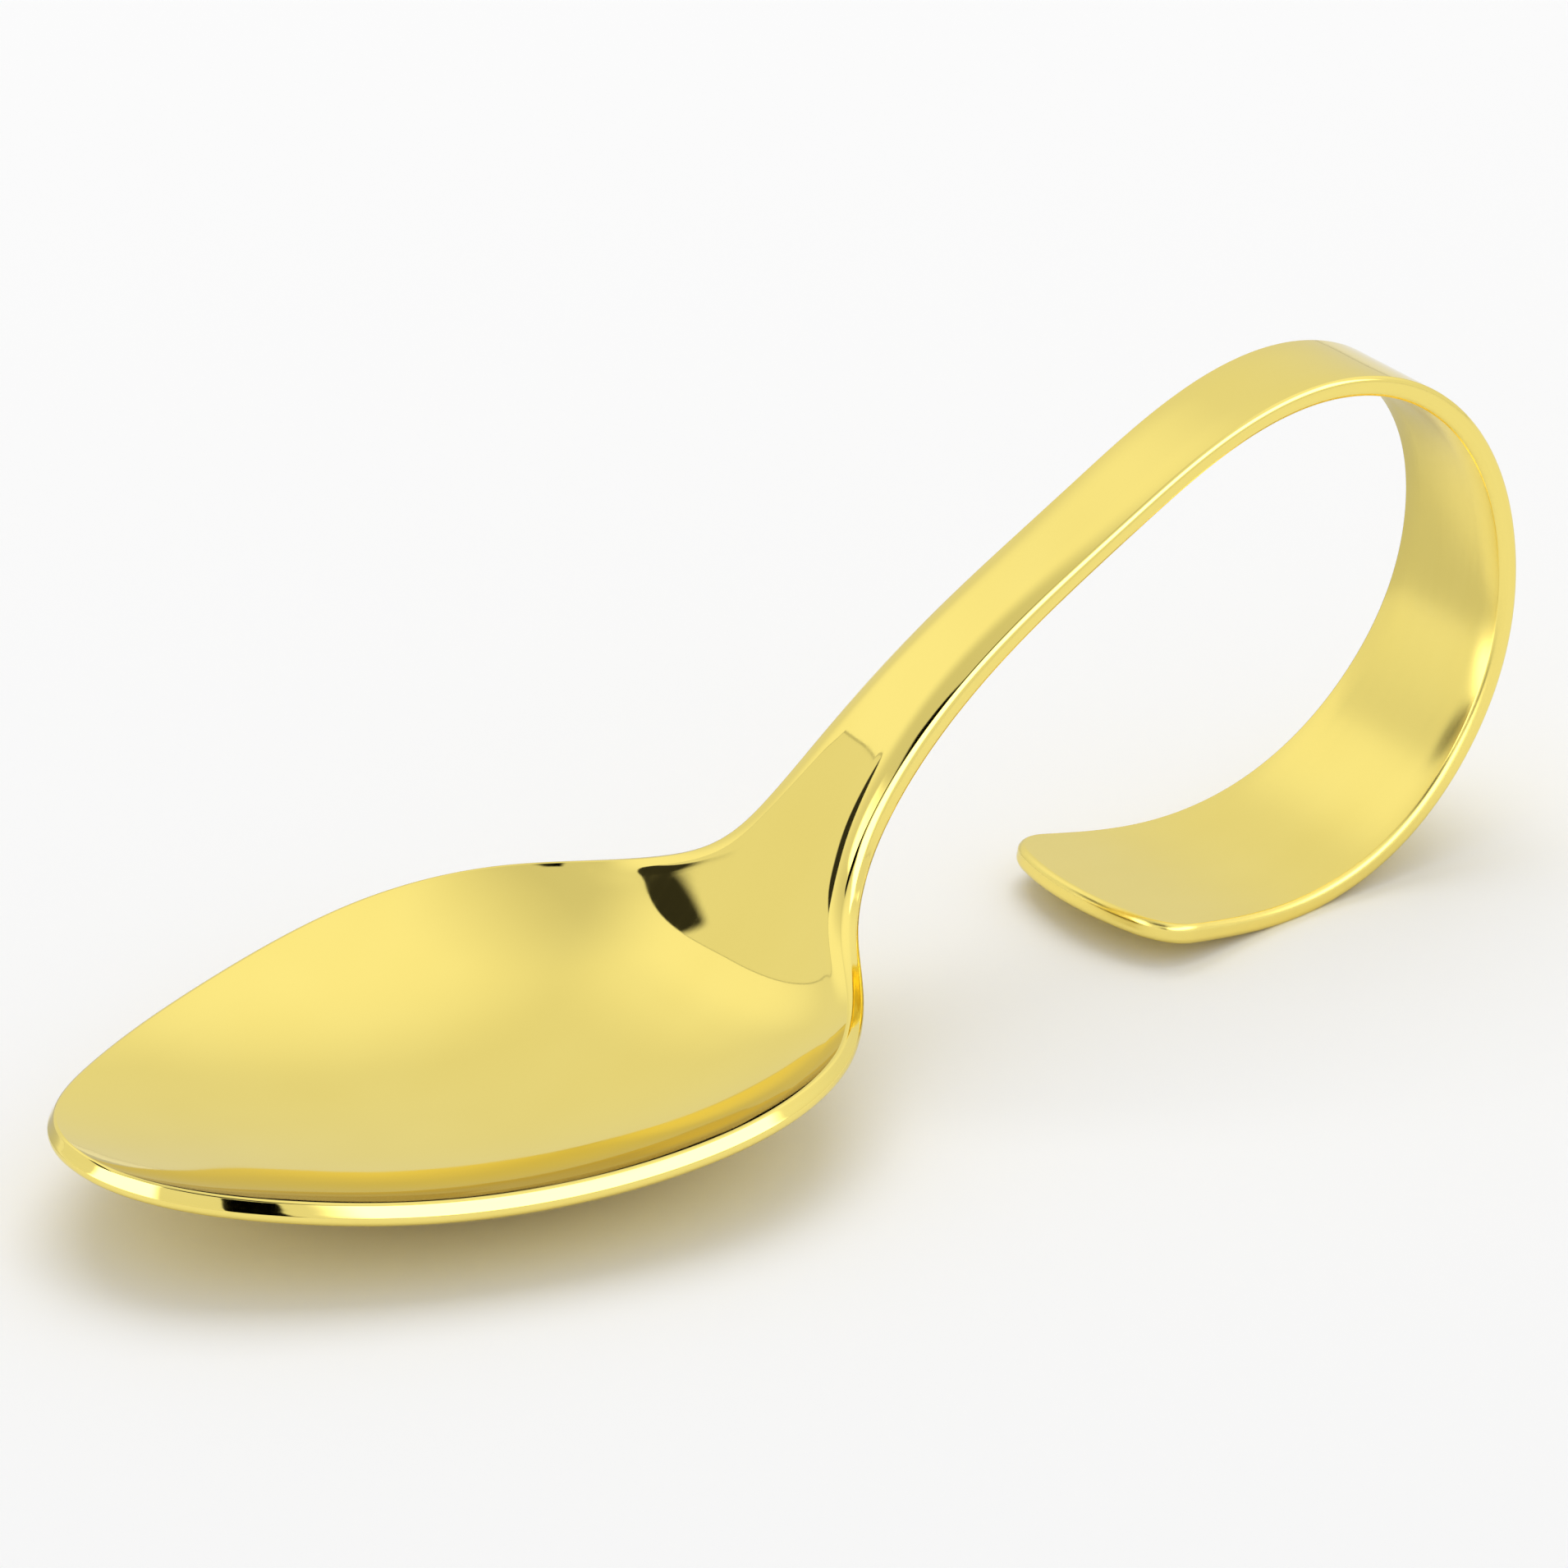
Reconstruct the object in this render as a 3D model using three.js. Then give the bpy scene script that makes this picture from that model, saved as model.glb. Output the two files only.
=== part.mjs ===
// Gourmet spoon for one-bite servings. It is a single pressed, bent and polished strip of steel: an
// egg-shaped bowl, a slim neck and stem, and a handle that turns over in a finger loop and comes back
// under itself as a broad foot. The strip is drawn flat, dished at the bowl, bent along its length and
// set down on the bowl's belly and the loop's heel.
//
// Millimetres and degrees, +Z up, bowl towards -X. A station is a distance along the middle of the flat
// strip from the bowl's tip. Handle stations are counted from the end of the bowl.

import * as THREE from 'three';
import { NURBSCurve } from 'three/addons/curves/NURBSCurve.js';

// Flat strip
const BOWL_LENGTH = 60.3;
const BOWL_WIDTH = 42.7;
const STEM_WIDTH = 6.83;
const TAIL_WIDTH = 18.3;
const HANDLE_LENGTH = 131.3;
const NECK_STATION = 5.54;
const STEM_STATION = 33.7;
const LOOP_STATION = 73.9;
const TAIL_STATION = 97.3;
const TAIL_BULGE = 2.48;
const TAIL_CORNER = 2.71;

// Thickness of the strip's edges, how they are rounded, and how far the faces fall towards them
const RIM_THICKNESS = 1.54;
const HANDLE_THICKNESS = 1.5;
const RIM_ROUND = { width: 0.15, drop: 0.25 };
const HANDLE_ROUND = { width: 0.3, drop: 0.45 };
const UNDER_ROUND = { width: 0.4, drop: 0.5 };
const EDGE_SQUARENESS = 1.6;
const FALL_WIDTH = 2.2;
const SHOULDER_FALL = 0.8;
const STEM_FALL = 0.25;
const ROLL_FALL = 0.3;

// Bowl: depth of the dish and how square its cross-section is, 2 being a parabola
const BOWL_DEPTH = 6.4;
const BOWL_SQUARENESS = 2.4;

// Bends along the strip: where each starts from the bowl's end, how long it is, how far it turns up
const TIP_HEADING = -10;
const RIM_SWEEP = { start: -BOWL_LENGTH, length: 37.5, turn: 12.2 };
const NECK_BEND = { start: -8.8, length: 14.9, turn: 53.9 };
const STEM_BEND = { start: -6.8, length: 41.1, turn: -30.4 };
const CREST_BEND = { start: 39.3, length: 59.1, turn: -133.6 };
const HEEL_BEND = { start: 83.7, length: 44.8, turn: -85.8 };
const BENDS = [RIM_SWEEP, NECK_BEND, STEM_BEND, CREST_BEND, HEEL_BEND];

// Depth of the two small flats on which the spoon stands
const LAND_DEPTH = 0.08;

// Lengths over which one form runs into the next, counted from the bowl's end
const THICKENING = { start: -15, length: 16 };
const DISH_FADE = { start: 0, length: 25 };
const SHOULDER_RISE = { start: -6, length: 8 };
const SHOULDER_FADE = { start: 8, length: 26 };
const STEM_FADE = { start: 38, length: 30 };
const ROLL_RISE = { start: 45, length: 25 };
const ROLL_FADE = { start: 95, length: 30 };

// Where the strip is divided into named regions, as stations from the bowl's end
const NECK_END = 11;
const CREST_END = 67;
const BACK_END = 95;
const REGIONS = [
  { name: 'bowl', end: 0 },
  { name: 'neck', end: NECK_END },
  { name: 'stem', end: CREST_BEND.start },
  { name: 'loop_crest', end: CREST_END },
  { name: 'loop_back', end: BACK_END },
  { name: 'tail_foot', end: HANDLE_LENGTH },
];

// How finely the surfaces are divided
const TIP_RIBS = 22;
const TAIL_RIBS = 12;
const RIB_SPACING = 1.6;
const POINTS_ACROSS = 7;
const POINTS_FALLING = 3;
const POINTS_ROUND = 3;
const TIP_FAN = 9;
const TAIL_FAN = 14;
const TAIL_FAN_END = 5;
const SAMPLES = 4000;
const SLOPE_STEP = 0.02;

const goldSteel = () => new THREE.MeshStandardMaterial({ color: '#e0c766', metalness: 1, roughness: 0.15 });

const STRIP_LENGTH = BOWL_LENGTH + HANDLE_LENGTH;

/** Goes smoothly from 0 to 1 along a stretch given from the bowl's end. */
function ease(station, { start, length }) {
  return THREE.MathUtils.smoothstep(station, BOWL_LENGTH + start, BOWL_LENGTH + start + length);
}

/** Half the strip's outline as a cubic B-spline: x is the station and y the half width. */
function outlineCurve() {
  const bowl = BOWL_WIDTH / 2;
  const stem = STEM_WIDTH / 2;
  const tail = TAIL_WIDTH / 2;
  const points = [
    [0, 0],
    [0, 0.274 * bowl],
    [0.16 * BOWL_LENGTH, 0.616 * bowl],
    [0.397 * BOWL_LENGTH, 0.913 * bowl],
    [0.69 * BOWL_LENGTH, 1.071 * bowl],
    [0.911 * BOWL_LENGTH, 0.842 * bowl],
    [BOWL_LENGTH, 0.419 * bowl],
    [BOWL_LENGTH + NECK_STATION, 1.206 * stem],
    [BOWL_LENGTH + STEM_STATION, 0.937 * stem],
    [BOWL_LENGTH + LOOP_STATION, 1.209 * stem],
    [BOWL_LENGTH + TAIL_STATION, 0.75 * tail],
    [STRIP_LENGTH, tail],
  ];
  const degree = 3;
  const spans = points.length - degree;
  const inner = Array.from({ length: spans + 1 }, (_, i) => i / spans);
  const knots = [0, 0, 0, ...inner, 1, 1, 1];
  return new NURBSCurve(degree, knots, points.map(([x, y]) => new THREE.Vector4(x, y, 0, 1)));
}

const outline = outlineCurve();
const outlineSamples = outline.getPoints(SAMPLES);

/** Looks up y at x in a row of points with rising x, straight between neighbours. */
function lookUp(points, x) {
  let low = 0;
  let high = points.length - 1;
  while (high - low > 1) {
    const middle = (low + high) >> 1;
    if (points[middle].x <= x) low = middle;
    else high = middle;
  }
  const share = (x - points[low].x) / (points[high].x - points[low].x);
  return THREE.MathUtils.lerp(points[low].y, points[high].y, share);
}

const halfWidth = (station) => lookUp(outlineSamples, Math.min(station, STRIP_LENGTH));

/** Direction of the strip above level, in radians: the tip's, plus every bend up to the station. */
function heading(station) {
  const turned = BENDS.reduce((sum, bend) => sum + bend.turn * ease(station, bend), TIP_HEADING);
  return THREE.MathUtils.degToRad(turned);
}

/** The middle line of the bent strip, followed in short steps from the tip. */
function middleLine() {
  const step = (STRIP_LENGTH + TAIL_BULGE) / SAMPLES;
  const along = [new THREE.Vector2(0, 0)];
  const upward = [new THREE.Vector2(0, 0)];
  for (let i = 0; i < SAMPLES; i++) {
    const angle = heading((i + 0.5) * step);
    along.push(new THREE.Vector2((i + 1) * step, along[i].y + step * Math.cos(angle)));
    upward.push(new THREE.Vector2((i + 1) * step, upward[i].y + step * Math.sin(angle)));
  }
  return { along, upward };
}

const middle = middleLine();

/** Carries a point of the flat strip, at a height above its middle, to the bent strip. */
function bend(station, y, height) {
  const angle = heading(station);
  const x = lookUp(middle.along, station) - height * Math.sin(angle);
  const z = lookUp(middle.upward, station) + height * Math.cos(angle);
  return new THREE.Vector3(x, y, z);
}

/** How far the top face falls towards its edges: most at the neck's shoulders, slightly along the stem. */
function topFall(station) {
  const risen = ease(station, SHOULDER_RISE);
  const shoulder = risen * (1 - ease(station, SHOULDER_FADE));
  const stem = risen * (1 - ease(station, STEM_FADE));
  return THREE.MathUtils.lerp(STEM_FALL * stem, SHOULDER_FALL, shoulder);
}

/** The same below, where the edges inside the loop are rolled for the finger. */
function underFall(station) {
  return ROLL_FALL * ease(station, ROLL_RISE) * (1 - ease(station, ROLL_FADE));
}

/** The rounding along the top edge: the bowl's rim is only broken, the handle's edges are eased. */
function topRound(station) {
  const eased = ease(station, THICKENING);
  return {
    width: THREE.MathUtils.lerp(RIM_ROUND.width, HANDLE_ROUND.width, eased),
    drop: THREE.MathUtils.lerp(RIM_ROUND.drop, HANDLE_ROUND.drop, eased),
  };
}

/** Thickness in the middle of the strip. */
function thickness(station) {
  const edge = THREE.MathUtils.lerp(RIM_THICKNESS, HANDLE_THICKNESS, ease(station, THICKENING));
  return edge + topFall(station) + underFall(station);
}

/** How far out a point lies, from 0 in the middle of the strip to 1 at its edge. */
function outward(station, y) {
  return y === 0 ? 0 : y / halfWidth(station);
}

/** Depth of the dish in the middle of the strip: it goes with the square of the width, and fades at the neck. */
function keelDepth(station) {
  return BOWL_DEPTH * (halfWidth(station) / (BOWL_WIDTH / 2)) ** 2 * (1 - ease(station, DISH_FADE));
}

/** How far the strip is dished below its edges. */
function dish(station, y) {
  return keelDepth(station) * (1 - outward(station, y) ** BOWL_SQUARENESS);
}

/** A point of the bent sheet, at a distance from its middle surface, measured square to the dish. */
function sheetPoint(station, y, distance) {
  const depth = dish(station, y);
  const along = (dish(station + SLOPE_STEP, y) - depth) / SLOPE_STEP;
  const out = outward(station, y);
  const steepness = BOWL_SQUARENESS * out ** (BOWL_SQUARENESS - 1);
  const across = out === 0 ? 0 : -(keelDepth(station) * steepness) / halfWidth(station);
  const normal = new THREE.Vector3(along, across, 1).normalize();
  return bend(station + distance * normal.x, y + distance * normal.y, distance * normal.z - depth);
}

/** Distances in from the edge, and drops there, from the middle of the strip out to its edge. */
function edgeProfile(length, fall, round) {
  const run = [];
  for (let i = 0; i < POINTS_ACROSS; i++) {
    run.push({ inset: THREE.MathUtils.lerp(length, FALL_WIDTH, i / POINTS_ACROSS), drop: 0 });
  }
  for (let i = 0; i < POINTS_FALLING; i++) {
    run.push({ inset: THREE.MathUtils.lerp(FALL_WIDTH, round.width, i / POINTS_FALLING), drop: 0 });
  }
  for (let i = 0; i <= POINTS_ROUND; i++) {
    const angle = (i / POINTS_ROUND) * (Math.PI / 2);
    const out = Math.sin(angle) ** (2 / EDGE_SQUARENESS);
    const level = i === POINTS_ROUND ? 0 : Math.cos(angle) ** (2 / EDGE_SQUARENESS);
    run.push({ inset: round.width * (1 - out), drop: round.drop * (1 - level) });
  }
  const fallen = (inset) => fall * Math.max(0, 1 - inset / FALL_WIDTH) ** 2;
  return run.map(({ inset, drop }) => ({ inset, drop: drop + fallen(inset) }));
}

/** One half section of the strip, from the middle of its top round the edge to the middle below. */
function halfSection({ rim, keel }) {
  const length = Math.hypot(rim.x - keel, rim.y);
  const at = ({ inset }) => ({
    station: THREE.MathUtils.lerp(rim.x, keel, inset / length),
    y: rim.y * (1 - inset / length),
  });
  const top = edgeProfile(length, topFall(rim.x), topRound(rim.x)).map((p) => {
    const { station, y } = at(p);
    return sheetPoint(station, y, thickness(station) / 2 - p.drop);
  });
  const under = edgeProfile(length, underFall(rim.x), UNDER_ROUND).map((p) => {
    const { station, y } = at(p);
    return sheetPoint(station, y, p.drop - thickness(station) / 2);
  });
  return [...top, ...under.reverse()];
}

/** Ribs of the bowl's front: they run from the rim to the keel and fan out round the tip. */
function tipRibs() {
  const widest = outlineSamples.slice(0, SAMPLES / 2).reduce((a, b) => (b.y > a.y ? b : a));
  const share = outlineSamples.indexOf(widest) / SAMPLES;
  return Array.from({ length: TIP_RIBS + 1 }, (_, i) => ({
    rim: outline.getPoint((share * i) / TIP_RIBS),
    keel: THREE.MathUtils.lerp(TIP_FAN, widest.x, i / TIP_RIBS),
  }));
}

/** Square ribs between two stations, evenly spaced, without the first. */
function squareRibs(from, to) {
  const count = Math.max(2, Math.ceil((to - from) / RIB_SPACING));
  return Array.from({ length: count }, (_, i) => {
    const station = THREE.MathUtils.lerp(from, to, (i + 1) / count);
    return { rim: new THREE.Vector2(station, halfWidth(station)), keel: station };
  });
}

/** Ribs that fan out round the tail: along its side, round the corner and along its bulging end. */
function tailRibs() {
  const side = STRIP_LENGTH - TAIL_CORNER;
  const half = halfWidth(STRIP_LENGTH);
  const end = half - TAIL_CORNER;
  const bulge = TAIL_BULGE * (1 - (end / half) ** 2);
  const sideStart = new THREE.Vector2(STRIP_LENGTH - TAIL_FAN, halfWidth(STRIP_LENGTH - TAIL_FAN));
  const sideEnd = new THREE.Vector2(side, halfWidth(side));
  const corner = new THREE.Vector2(STRIP_LENGTH, half);
  const endStart = new THREE.Vector2(STRIP_LENGTH + bulge, end);
  const endMiddle = new THREE.Vector2(STRIP_LENGTH + TAIL_BULGE, 0);
  const path = new THREE.Path();
  path.moveTo(sideStart.x, sideStart.y);
  path.lineTo(sideEnd.x, sideEnd.y);
  path.quadraticCurveTo(corner.x, corner.y, endStart.x, endStart.y);
  path.quadraticCurveTo(endMiddle.x, end / 2, endMiddle.x, endMiddle.y);
  return Array.from({ length: TAIL_RIBS }, (_, i) => ({
    rim: path.getPointAt((i + 1) / TAIL_RIBS),
    keel: STRIP_LENGTH - THREE.MathUtils.lerp(TAIL_FAN, TAIL_FAN_END, (i + 1) / TAIL_RIBS),
  }));
}

/** All ribs from the tip to the tail, with the last rib of every region. */
function layOutRibs() {
  const ribs = tipRibs();
  const lastRib = {};
  for (const { name, end } of REGIONS) {
    const isTail = end === HANDLE_LENGTH;
    const stop = BOWL_LENGTH + end - (isTail ? TAIL_FAN : 0);
    ribs.push(...squareRibs(ribs.at(-1).keel, stop));
    if (isTail) ribs.push(...tailRibs());
    lastRib[name] = ribs.length - 1;
  }
  return { ribs, lastRib };
}

/** Turns and lowers the spoon until its bowl and its heel both stand on the table, and centres it. */
function setDown(sections, firstHandleRib) {
  const lowest = (points) => points.reduce((a, b) => (b.z < a.z ? b : a));
  const bowl = sections.slice(0, firstHandleRib).flat();
  const handle = sections.slice(firstHandleRib).flat();
  const all = [...bowl, ...handle];
  const across = new THREE.Vector3(0, 1, 0);
  const settlingTurns = 8;
  for (let i = 0; i < settlingTurns; i++) {
    const belly = lowest(bowl);
    const heel = lowest(handle);
    const tilt = Math.atan2(heel.z - belly.z, heel.x - belly.x);
    all.forEach((point) => point.applyAxisAngle(across, tilt));
  }
  const box = new THREE.Box3().setFromPoints(all);
  const centre = (box.min.x + box.max.x) / 2;
  const table = box.min.z + LAND_DEPTH;
  all.forEach((point) => point.set(point.x - centre, point.y, Math.max(0, point.z - table)));
}

/** The closed surface of the strip between two ribs, with flat faces where it is divided. */
function regionGeometry(sections, first, last) {
  const positions = [];
  const indices = [];
  const addVertex = (x, y, z) => positions.push(x, y, z) / 3 - 1;
  const addQuad = (a, b, c, d, flipped) => {
    const corners = flipped ? [a, c, b, a, d, c] : [a, b, c, a, c, d];
    indices.push(...corners);
  };

  // Points on the middle plane are shared by the two sides, so the skin closes along the keel, the tip
  // and the tail.
  const left = sections.slice(first, last + 1).map((half) => half.map((p) => addVertex(p.x, p.y, p.z)));
  const right = left.map((row, i) => row.map((index, j) => {
    const p = sections[first + i][j];
    return p.y === 0 ? index : addVertex(p.x, -p.y, p.z);
  }));

  for (const [side, flipped] of [[left, false], [right, true]]) {
    const count = side[0].length;
    for (let i = 0; i + 1 < side.length; i++) {
      for (let j = 0; j + 1 < count; j++) {
        addQuad(side[i][j], side[i + 1][j], side[i + 1][j + 1], side[i][j + 1], flipped);
      }
    }
    const addEndFace = (row, flip) => {
      for (let j = 0; j + 1 < count / 2; j++) {
        addQuad(row[j], row[j + 1], row[count - 2 - j], row[count - 1 - j], flip);
      }
    };
    if (first > 0) addEndFace(side[0], flipped);
    if (last < sections.length - 1) addEndFace(side.at(-1), !flipped);
  }

  const geometry = new THREE.BufferGeometry();
  geometry.setAttribute('position', new THREE.Float32BufferAttribute(positions, 3));
  geometry.setIndex(indices);
  geometry.computeVertexNormals();
  return geometry;
}

function buildSpoon() {
  const { ribs, lastRib } = layOutRibs();
  const sections = ribs.map(halfSection);
  setDown(sections, lastRib.bowl + 1);
  const spoon = new THREE.Group();
  spoon.name = 'gourmet_spoon';
  let first = 0;
  for (const { name } of REGIONS) {
    const mesh = new THREE.Mesh(regionGeometry(sections, first, lastRib[name]), goldSteel());
    mesh.name = name;
    spoon.add(mesh);
    first = lastRib[name];
  }
  return spoon;
}

export default buildSpoon();
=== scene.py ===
# %% [markdown]
# # A gourmet spoon with a finger loop
# The real spoon is one strip of stainless steel. It is blanked out flat, dished at one end, bent over
# into a loop for a finger, polished bright and then coated in gold colour. So the whole model is one
# skin, worked out as a blank that is dished and bent, the way the press does it.
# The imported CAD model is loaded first. It fixes the frame: metres, +Z up, bowl towards -X.

# %% Load the CAD frame and keep its box
import bpy
import numpy as np
from mathutils import Matrix, Vector


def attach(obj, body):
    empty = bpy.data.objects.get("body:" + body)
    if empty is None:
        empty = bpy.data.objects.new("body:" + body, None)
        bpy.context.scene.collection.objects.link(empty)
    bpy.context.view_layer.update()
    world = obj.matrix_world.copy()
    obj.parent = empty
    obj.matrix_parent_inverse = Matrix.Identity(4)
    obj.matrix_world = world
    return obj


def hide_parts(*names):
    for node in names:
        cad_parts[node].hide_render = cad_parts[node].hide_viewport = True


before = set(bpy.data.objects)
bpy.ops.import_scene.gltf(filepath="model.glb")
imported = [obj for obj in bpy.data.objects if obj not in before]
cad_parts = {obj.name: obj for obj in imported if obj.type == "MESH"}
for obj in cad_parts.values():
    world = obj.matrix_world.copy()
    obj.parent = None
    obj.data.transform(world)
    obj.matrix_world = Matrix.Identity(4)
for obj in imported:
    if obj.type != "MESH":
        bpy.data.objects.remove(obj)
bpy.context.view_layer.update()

MM = 0.001

# %% [markdown]
# ## The flat blank
# The blank is an egg with a long slim tail that widens again. It could be traced with a Bezier curve,
# but a cubic B-spline needs only a few control points, and it stays smooth from the bowl into the
# stem, as a cutting die's edge does. A station is a distance in millimetres from the bowl's tip.

# %% The blank's edge
BOWL_LENGTH, BOWL_WIDTH = 60.3, 42.7
STEM_WIDTH, TAIL_WIDTH, HANDLE_LENGTH = 6.83, 18.3, 131.3
BLANK_LENGTH = BOWL_LENGTH + HANDLE_LENGTH
EDGE_STATIONS = np.concatenate([
    np.array([0, 0, 0.16, 0.397, 0.69, 0.911, 1]) * BOWL_LENGTH,
    BOWL_LENGTH + np.array([5.54, 33.7, 73.9, 97.3, HANDLE_LENGTH]),
])
EDGE_HALF_WIDTHS = np.concatenate([
    np.array([0, 0.274, 0.616, 0.913, 1.071, 0.842, 0.419]) * BOWL_WIDTH / 2,
    np.array([1.206, 0.937, 1.209]) * STEM_WIDTH / 2,
    np.array([0.75, 1]) * TAIL_WIDTH / 2,
])
EDGE_POINTS = np.stack([EDGE_STATIONS, EDGE_HALF_WIDTHS], axis=-1)


def blank_edge(share):
    """Half of the blank's outline, as (station, half width), at shares from 0 to 1 along it.

    A cubic B-spline with its ends clamped. By the Cox-de Boor rule, each weight of one degree is a
    mix of two neighbouring weights of the degree below, and the points are summed by their weights.
    """
    knots = np.concatenate([[0] * 3, np.linspace(0, 1, len(EDGE_POINTS) - 2), [1] * 3])
    u = np.clip(share, 0, 1 - 1e-12)[:, None]
    weight = ((u >= knots[:-1]) & (u < knots[1:])).astype(float)
    for degree in (1, 2, 3):
        rise = knots[degree:-1] - knots[:-degree - 1]
        fall = knots[degree + 1:] - knots[1:-degree]
        up = (u - knots[:-degree - 1]) / np.where(rise > 0, rise, np.inf)
        down = (knots[degree + 1:] - u) / np.where(fall > 0, fall, np.inf)
        weight = up * weight[:, :-1] + down * weight[:, 1:]
    return weight @ EDGE_POINTS


EDGE_STEPS = 20000
edge_shares = np.linspace(0, 1, EDGE_STEPS + 1)
edge_line = blank_edge(edge_shares)


def half_width(station):
    """Half width of the blank at a station, read off the finely divided edge."""
    return np.interp(station, edge_line[:, 0], edge_line[:, 1])


print("blank:", BLANK_LENGTH, "mm long, bowl", round(2 * half_width(40), 1), "mm wide at 40 mm")

# %% [markdown]
# ## The bends
# Five bends give the side view: a slight sweep of the rim, the neck turning up, the stem easing back,
# the crest of the loop and its heel. Each turns the strip smoothly over its own length, so the
# heading is a sum of S-shaped steps, and the side view is that heading followed in small steps.

# %% The side view
TIP_HEADING = -10
# Each bend's start from the bowl's end, its length in millimetres, and its turn in degrees.
BENDS = {
    "rim sweep": (-BOWL_LENGTH, 37.5, 12.2),
    "neck": (-8.8, 14.9, 53.9),
    "stem": (-6.8, 41.1, -30.4),
    "crest": (39.3, 59.1, -133.6),
    "heel": (83.7, 44.8, -85.8),
}


def ease(station, start, length):
    """0 before start, 1 after start + length, and 3q^2 - 2q^3 between, counted from the bowl's end."""
    q = np.clip((station - BOWL_LENGTH - start) / length, 0, 1)
    return q * q * (3 - 2 * q)


def heading(station):
    """Direction of the strip above level in radians: the tip's heading plus every bend's turn so far."""
    return np.radians(TIP_HEADING + sum(turn * ease(station, a, n) for a, n, turn in BENDS.values()))


OVERRUN, WALK_STEPS = 6, 24000
walk = np.linspace(-OVERRUN, BLANK_LENGTH + OVERRUN, WALK_STEPS + 1)
step = walk[1] - walk[0]
steps = heading(walk[:-1] + step / 2)
walk_x = np.concatenate([[0], np.cumsum(np.cos(steps))]) * step
walk_z = np.concatenate([[0], np.cumsum(np.sin(steps))]) * step


def bend(station, y, height):
    """Carries a point of the flat strip to the bent one: along the middle line, then square off it."""
    angle = heading(station)
    x = np.interp(station, walk, walk_x) - height * np.sin(angle)
    z = np.interp(station, walk, walk_z) + height * np.cos(angle)
    return np.stack([x, y, z], axis=-1)


print("the strip turns over by", round(float(np.degrees(heading(BLANK_LENGTH)))), "degrees at its tail")

# %% [markdown]
# ## Dish and thickness
# The press dishes the bowl and leaves the sheet the same thickness, so its edge stands square to the
# dish and leans outwards. The two faces are therefore offset along the dish's own normal, which is
# what the Solidify modifier would do, but worked out here the rim's corners stay exact.

# %% The dished sheet
RIM_THICKNESS, HANDLE_THICKNESS = 1.54, 1.5
SHOULDER_FALL, STEM_FALL, ROLL_FALL = 0.8, 0.25, 0.3
BOWL_DEPTH, BOWL_SQUARENESS = 6.4, 2.4
UPTURN, UPTURN_SQUARENESS = 0.06, 12
SLOPE_STEP = 0.02
# Where each form comes or goes along the strip: start from the bowl's end, and length.
RIM_TO_HANDLE, DISH_FADE = (-15, 16), (0, 25)
SHOULDER_RISE, SHOULDER_FADE, STEM_FADE = (-6, 8), (17, 26), (38, 30)
ROLL_RISE, ROLL_FADE = (45, 25), (95, 30)


def top_fall(station):
    """How far the top face falls to its edges: most on the neck's shoulders, slightly on the stem."""
    risen = ease(station, *SHOULDER_RISE)
    shoulder = risen * (1 - ease(station, *SHOULDER_FADE))
    stem = STEM_FALL * risen * (1 - ease(station, *STEM_FADE))
    return stem + (SHOULDER_FALL - stem) * shoulder


def under_fall(station):
    """The same below, where the edges are rolled inside the loop for the finger."""
    return ROLL_FALL * ease(station, *ROLL_RISE) * (1 - ease(station, *ROLL_FADE))


def thickness(station):
    """Thickness in the middle: that of the edge, and what the two faces fall towards it."""
    edge = RIM_THICKNESS + (HANDLE_THICKNESS - RIM_THICKNESS) * ease(station, *RIM_TO_HANDLE)
    return edge + top_fall(station) + under_fall(station)


def outward(station, y):
    """0 in the middle of the strip, 1 at its edge."""
    return np.where(y > 0, y / np.maximum(half_width(station), 1e-9), 0)


def keel_depth(station):
    """Depth of the dish in the middle: with the square of the width, fading out along the neck."""
    return BOWL_DEPTH * (2 * half_width(station) / BOWL_WIDTH) ** 2 * (1 - ease(station, *DISH_FADE))


def dish(station, y, upturn=0):
    """Depth below the edges: the keel's depth times 1 - outward^squareness. A small share of it may rise
    later and more steeply, because the press turns the wall up just below the rim."""
    out = outward(station, y)
    risen = (1 - upturn) * out ** BOWL_SQUARENESS + upturn * out ** UPTURN_SQUARENESS
    return keel_depth(station) * (1 - risen)


def sheet_point(station, y, distance):
    """A point at a distance from the sheet's middle, measured along the dish's normal, then bent.

    The normal is (slope along, slope across, 1) made one long: slope along from a small step, slope
    across from the derivative of the dish.
    """
    depth = dish(station, y)
    along = (dish(station + SLOPE_STEP, y) - depth) / SLOPE_STEP
    out = outward(station, y)
    across = -keel_depth(station) * BOWL_SQUARENESS * out ** (BOWL_SQUARENESS - 1)
    across = across / np.maximum(half_width(station), 1e-9) * (out > 0)
    long = np.sqrt(along ** 2 + across ** 2 + 1)
    depth = dish(station, y, UPTURN)
    return bend(station + distance * along / long, y + distance * across / long, distance / long - depth)


print("bowl", round(float(dish(40.0, 0.0)), 2), "mm deep at 40 mm")
print("edges", RIM_THICKNESS, "mm thick on the rim,", HANDLE_THICKNESS, "mm on the handle")

# %% [markdown]
# ## The edges
# The rim is ground flat with barely broken corners. On the neck the faces fall away to broad shoulders,
# and inside the loop they roll away under the finger. A bevel could not change along the strip, so
# every section has its own falling margin, a parabola, and a superellipse at the corner.

# %% Margins and corners
RIM_ROUND, HANDLE_ROUND, UNDER_ROUND = (0.15, 0.25), (0.3, 0.45), (0.4, 0.5)
CORNER_SQUARENESS = 1.6
FALL_WIDTH = 2.2
POINTS_FLAT, POINTS_FALLING, POINTS_ROUND, POINTS_FACE = 20, 12, 9, 4


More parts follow.
